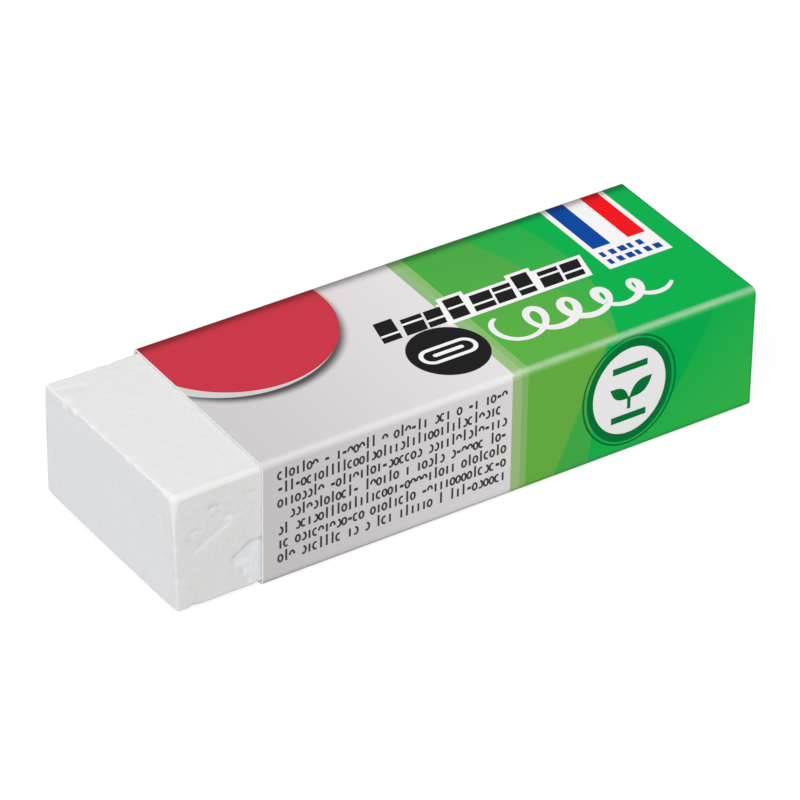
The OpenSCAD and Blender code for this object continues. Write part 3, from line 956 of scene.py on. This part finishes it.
total = print_math("MULTIPLY", given["Rows"], given["Marks"])
grid_line = add_node(print_tree, "GeometryNodeMeshLine", {"Count": total})
order = add_node(print_tree, "GeometryNodeInputIndex")
row = print_math("FLOOR", print_math("DIVIDE", order, given["Marks"]))
column = print_math("MODULO", order, given["Marks"])
spot = add_node(print_tree, "ShaderNodeCombineXYZ", {
    "X": print_math("MULTIPLY", column, given["Mark pitch"]),
    "Z": print_math("MULTIPLY", row, print_math("MULTIPLY", given["Row pitch"], -1.0))})
placed = put_points(print_tree, grid_line, spot, given["Start"])
drop = add_node(print_tree, "FunctionNodeRandomValue", {"Seed": given["Seed"]},
                {"data_type": "BOOLEAN"}, Probability=0.12)
left_over = add_node(print_tree, "GeometryNodeDeleteGeometry",
                     {"Geometry": placed, "Selection": drop.outputs[3]})
print("nodes that place the marks:", len(print_tree.nodes))

# %% Marks of the small print


def lifted(raise_by):
    """A way straight up, as a factor of the mark's height."""
    return add_node(print_tree, "ShaderNodeCombineXYZ", {
        "Z": print_math("MULTIPLY", given["Height"], raise_by)})


def print_stroke(height, width, raise_by):
    """A bar of ink, given by the tree's own height and line width times these factors."""
    size = add_node(print_tree, "ShaderNodeCombineXYZ", {
        "X": print_math("MULTIPLY", given["Line"], width), "Y": given["Film"],
        "Z": print_math("MULTIPLY", given["Height"], height)})
    bar_mesh = add_node(print_tree, "GeometryNodeMeshCube", {"Size": size})
    return add_node(print_tree, "GeometryNodeTransform", {
        "Geometry": bar_mesh, "Translation": lifted(raise_by)})


def print_ring(sweep, turn_by):
    """A ring or part of one, as high as the small marks, opened towards an angle."""
    ring = add_node(print_tree, "GeometryNodeCurveArc", {
        "Radius": print_math("MULTIPLY", given["Height"], 0.43)}, Resolution=10,
        Start_Angle=math.radians(turn_by), Sweep_Angle=math.radians(sweep))
    upright = add_node(print_tree, "GeometryNodeTransform", {
        "Geometry": ring, "Translation": lifted(0.5)},
        Rotation=(math.pi / 2, 0.0, 0.0), Scale=(0.62, 1.0, 1.0))
    level_curve = add_node(print_tree, "GeometryNodeSetCurveNormal", {"Curve": upright},
                           {"mode": "FREE"}, Normal=(0.0, -1.0, 0.0))
    nib = add_node(print_tree, "GeometryNodeCurvePrimitiveQuadrilateral", {
        "Width": given["Film"], "Height": given["Line"]})
    return add_node(print_tree, "GeometryNodeCurveToMesh", {
        "Curve": level_curve, "Profile Curve": nib}, Fill_Caps=True)


whole_ring = 359
shapes = [
    # each is picked as often as the others, so strokes and rings stand here twice
    print_stroke(1.0, 1.0, 0.5), print_stroke(1.38, 1.0, 0.69), print_ring(whole_ring, 0),
    print_ring(whole_ring, 0), print_ring(250, 55), print_ring(230, -130), print_ring(190, -5),
    print_stroke(1.0, 1.0, 0.5), print_stroke(1.38, 1.0, 0.69), print_stroke(0.34, 1.9, 0.55),
]
marks = add_node(print_tree, "GeometryNodeGeometryToInstance")
for shape in shapes:
    feed(print_tree, marks.inputs[0], shape)
choice = add_node(print_tree, "FunctionNodeRandomValue", {"Seed": given["Seed"]}, {"data_type": "INT"},
                  i4=0, i5=len(shapes) - 1)
set_out = add_node(print_tree, "GeometryNodeInstanceOnPoints", {
    "Points": left_over, "Instance": marks,
    "Instance Index": choice.outputs[2]}, Pick_Instance=True)
end_tree(print_tree, set_out, given["Ink"], result)
print("kinds of mark:", len(shapes))

# %% Grow a tree into a plain mesh


def grown(name, made, values):
    """Runs a tree with these input values, and keeps what it made as a plain mesh."""
    seed_object = object_from(name + "_seed", [(0, 0, 0)], [])
    modifier = seed_object.modifiers.new("tree", "NODES")
    modifier.node_group = made
    for item in made.interface.items_tree:
        if item.in_out == "INPUT" and item.name in values:
            modifier[item.identifier] = values[item.name]
    graph = bpy.context.evaluated_depsgraph_get()
    plain_mesh = bpy.data.meshes.new_from_object(seed_object.evaluated_get(graph))
    seed_object.modifiers.remove(modifier)
    bpy.data.objects.remove(seed_object)
    piece = bpy.data.objects.new(name, plain_mesh)
    plain_mesh.name = name
    scene.collection.objects.link(piece)
    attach(piece, "sleeve")
    print(name, "faces:", len(plain_mesh.polygons))


first_row = ((card_lo[0] + 1.85) * MM, front_y * MM, 11.3 * MM)
grown("small_print", print_tree, {"Start": first_row, "Ink": black_ink})

# %% [markdown]
# ## The scribble, swept along a path
# The white scribble is a brush stroke that loops along the green zone, its loops getting
# smaller. It follows a path by a rule, so a second tree makes it: a line of points is
# bent into a row of loops, and a flat ribbon is swept along it. The ribbon swells and
# thins as a brush does.

# %% Scribble tree
stroke_points = 260
loop_tree, given, result = new_tree("looping_scribble", {
    "Length": ("NodeSocketFloat", 17.4 * MM), "Swing": ("NodeSocketFloat", 2.15 * MM),
    "Loop": ("NodeSocketFloat", 1.85 * MM), "Loops": ("NodeSocketFloat", 4.7),
    "Brush": ("NodeSocketFloat", 0.95 * MM), "Film": ("NodeSocketFloat", 0.02 * MM),
    "Start": ("NodeSocketVector", (0, 0, 0)), "Ink": ("NodeSocketMaterial", None)})


def loop_math(operation, *sides):
    """One sum in the tree of the scribble."""
    return math_node(loop_tree, operation, *sides)


points = add_node(loop_tree, "GeometryNodeMeshLine", Count=stroke_points)
order = add_node(loop_tree, "GeometryNodeInputIndex")
part = loop_math("DIVIDE", order, stroke_points - 1)
angle = loop_math("MULTIPLY", loop_math("MULTIPLY", part, given["Loops"]), 2 * math.pi)
fade = loop_math("SUBTRACT", 1.0, loop_math("MULTIPLY", part, 0.36))
above = loop_math("ADD", loop_math("COSINE", angle), 1.0)
height = loop_math("MULTIPLY", loop_math("MULTIPLY", above, fade), given["Swing"])
to_the_side = loop_math("MULTIPLY", loop_math("SINE", angle), fade)
sideways = loop_math("MULTIPLY", to_the_side, loop_math("MULTIPLY", given["Loop"], -1.0))
along_x = loop_math("ADD", loop_math("MULTIPLY", part, given["Length"]), sideways)
slant = loop_math("MULTIPLY", height, 0.16)
spot = add_node(loop_tree, "ShaderNodeCombineXYZ", {"X": loop_math("ADD", along_x, slant), "Y": height})
bent = put_points(loop_tree, points, spot, given["Start"])
path = add_node(loop_tree, "GeometryNodeMeshToCurve", {"Mesh": bent})
flat_way = add_node(loop_tree, "GeometryNodeSetCurveNormal", {"Curve": path}, {"mode": "Z_UP"})
waver = loop_math("SINE", loop_math("MULTIPLY", angle, 1.4))
swell = loop_math("ADD", 0.88, loop_math("MULTIPLY", waver, 0.14))
half_turn = loop_math("ADD", loop_math("MULTIPLY", part, math.pi * 0.98), 0.03)
ends = loop_math("POWER", loop_math("SINE", half_turn), 0.25)
ribbon = add_node(loop_tree, "GeometryNodeCurvePrimitiveQuadrilateral", {
    "Width": given["Brush"], "Height": given["Film"]})
swept = add_node(loop_tree, "GeometryNodeCurveToMesh", {
    "Curve": flat_way, "Profile Curve": ribbon,
    "Scale": loop_math("MULTIPLY", swell, ends)}, Fill_Caps=True)
sharp = add_node(loop_tree, "GeometryNodeSetShadeSmooth", {0: swept}, Shade_Smooth=False)
end_tree(loop_tree, sharp, given["Ink"], result)
grown("scribble", loop_tree, {
    "Start": ((card_lo[0] + 30.6) * MM, (front_y + 4.6) * MM, top_z * MM), "Ink": white_ink})
